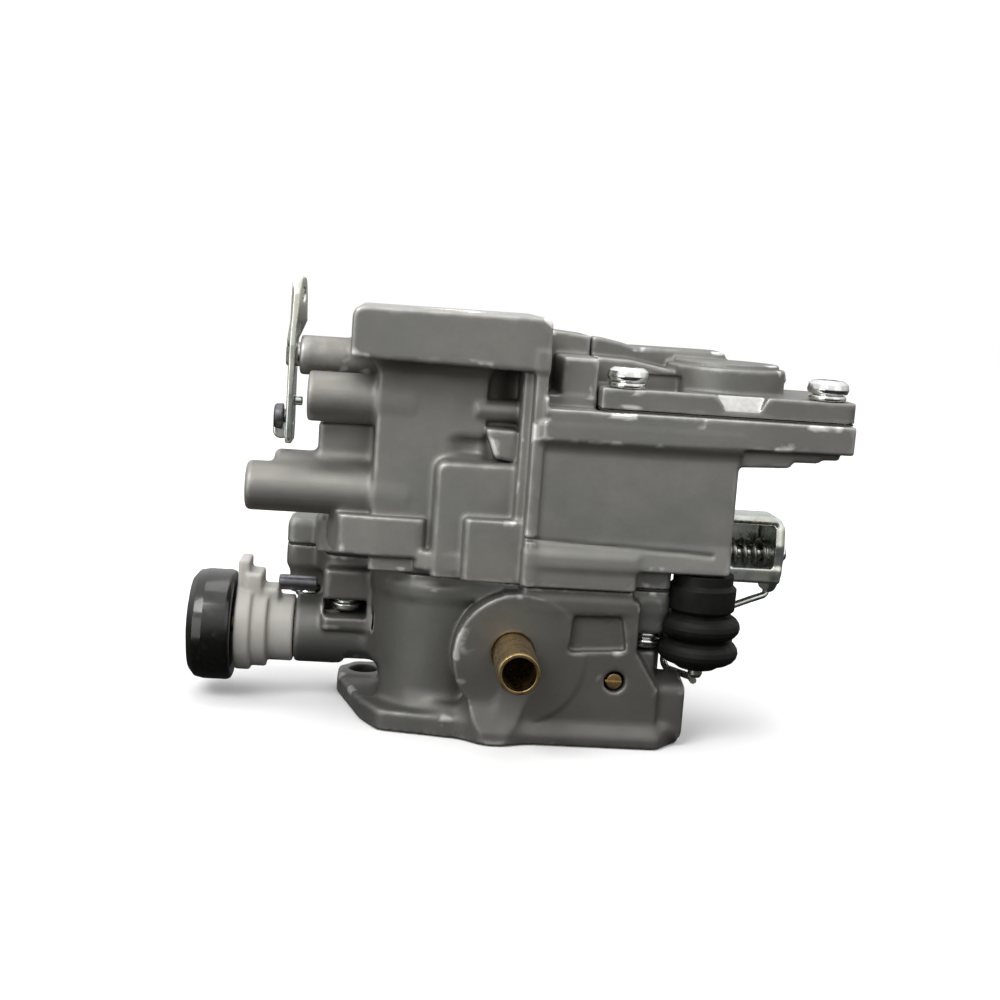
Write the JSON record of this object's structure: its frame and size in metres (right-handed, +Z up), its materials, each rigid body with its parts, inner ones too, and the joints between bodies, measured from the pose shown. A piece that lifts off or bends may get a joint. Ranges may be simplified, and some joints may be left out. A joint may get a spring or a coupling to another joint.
{
  "type": "carburetor",
  "caption": "Downdraft carburetor with a float chamber, choke, throttle, accelerator pump with a rubber boot and a pull knob for cold starting.",
  "frame": {"origin": "centre of the mixture bore at the engine flange face", "axes": "+Z up along the bore towards the air inlet, X along the throttle and choke shafts, -Y towards the side with the brass pipe"},
  "size_m": [0.135, 0.0628, 0.0912],
  "materials": {
    "cast_alloy": "matte die-cast",
    "gasket": "matte",
    "zinc_steel": "zinc plated",
    "brass": "turned",
    "rubber": "matte",
    "nylon": "natural nylon",
    "black_plastic": "gloss",
    "float_plastic": "matte"
  },
  "bodies": {
    "castings": {"main_body": "cast_alloy", "throttle_body": "cast_alloy", "chamber_cover": "cast_alloy", "booster_venturi": "cast_alloy", "body_gasket": "gasket", "cover_gasket": "gasket", "cover_screw_1": "zinc_steel", "cover_screw_2": "zinc_steel", "cover_screw_3": "zinc_steel", "cover_screw_4": "zinc_steel", "body_screw_1": "zinc_steel", "body_screw_2": "zinc_steel", "body_screw_3": "zinc_steel", "body_screw_4": "zinc_steel", "float_pin": "zinc_steel", "float_bracket": "brass", "needle_seat": "brass", "main_jet": "brass", "pilot_jet": "brass", "main_nozzle": "brass", "pump_lever_pin": "zinc_steel", "pump_lever_clip": "zinc_steel", "pump_lever_spring": "zinc_steel", "pump_boot": "rubber", "pump_spring": "zinc_steel", "throttle_spring": "zinc_steel", "starter_housing": "nylon", "starter_spring": "zinc_steel", "idle_stop_spring": "zinc_steel", "vacuum_pipe": "brass", "vent_nipple": "zinc_steel", "fuel_inlet_pipe": "zinc_steel"},
    "throttle": {"throttle_shaft": "zinc_steel", "throttle_plate": "brass", "throttle_plate_screw_1": "zinc_steel", "throttle_plate_screw_2": "zinc_steel", "throttle_lever": "zinc_steel", "throttle_nut": "zinc_steel"},
    "throttle_swivel": {"throttle_cable_swivel": "brass"},
    "pump_lever": {"pump_lever": "zinc_steel", "pump_arm": "zinc_steel"},
    "pump_plunger": {"pump_rod": "zinc_steel", "pump_piston": "rubber"},
    "choke": {"choke_shaft": "zinc_steel", "choke_plate": "brass", "choke_plate_screw_1": "zinc_steel", "choke_plate_screw_2": "zinc_steel", "choke_lever": "zinc_steel"},
    "choke_swivel": {"choke_cable_swivel": "zinc_steel"},
    "starter": {"starter_knob": "black_plastic", "starter_plunger": "brass"},
    "float": {"float": "float_plastic"},
    "needle": {"inlet_needle": "brass"},
    "idle_adjuster": {"idle_stop_screw": "zinc_steel"},
    "mixture_adjuster": {"mixture_screw": "brass"}
  },
  "joints": [
    {"name": "throttle_turn", "type": "hinge", "parent": "castings", "child": "throttle", "pos_m": [0, 0, 0.0197], "axis": [-1, 0, 0], "range_deg": [0, 70], "stiffness_Nm_per_rad": 0.03, "springref_deg": -57.3},
    {"name": "throttle_swivel_turn", "type": "hinge", "parent": "throttle", "child": "throttle_swivel", "pos_m": [0.056, 0.009, 0.0247], "axis": [1, 0, 0], "range_deg": [-60, 60]},
    {"name": "pump_lever_turn", "type": "hinge", "parent": "castings", "child": "pump_lever", "pos_m": [0.0612, 0.006, 0.0375], "axis": [-1, 0, 0], "range_deg": [0, 10.7]},
    {"name": "pump_stroke", "type": "slide", "parent": "castings", "child": "pump_plunger", "axis": [0, 0, 1], "range_m": [0, 0.004], "deforming": ["pump_boot", "pump_spring"]},
    {"name": "choke_turn", "type": "hinge", "parent": "castings", "child": "choke", "pos_m": [0, 0, 0.075], "axis": [1, 0, 0], "range_deg": [0, 80]},
    {"name": "choke_swivel_turn", "type": "hinge", "parent": "choke", "child": "choke_swivel", "pos_m": [-0.035, -0.001, 0.062], "axis": [1, 0, 0], "range_deg": [-60, 60]},
    {"name": "starter_pull", "type": "slide", "parent": "castings", "child": "starter", "axis": [-1, 0, 0], "range_m": [0, 0.008], "stiffness_N_per_m": 300, "springref_m": -0.01, "deforming": ["starter_spring"]},
    {"name": "float_rise", "type": "hinge", "parent": "castings", "child": "float", "pos_m": [0.0446, 0, 0.0622], "axis": [0, 1, 0], "range_deg": [0, 8]},
    {"name": "needle_lift", "type": "slide", "parent": "castings", "child": "needle", "axis": [0, 0, 1], "range_m": [0, 0.0008]},
    {"name": "idle_stop_turn", "type": "hinge", "parent": "castings", "child": "idle_adjuster", "pos_m": [0.0567, 0.0172, 0.045], "axis": [0, 0, 1], "range_deg": [-180, 180]},
    {"name": "mixture_turn", "type": "hinge", "parent": "castings", "child": "mixture_adjuster", "pos_m": [0.0357, -0.018, 0.0136], "axis": [0, 1, 0], "range_deg": [-180, 180]}
  ],
  "couplings": [
    {"joint": "pump_lever_turn", "follows": "throttle_turn", "ratio": 0.1528},
    {"joint": "pump_stroke", "follows": "throttle_turn", "m_per_rad": 0.00319},
    {"joint": "needle_lift", "follows": "float_rise", "m_per_rad": 0.0056}
  ]
}
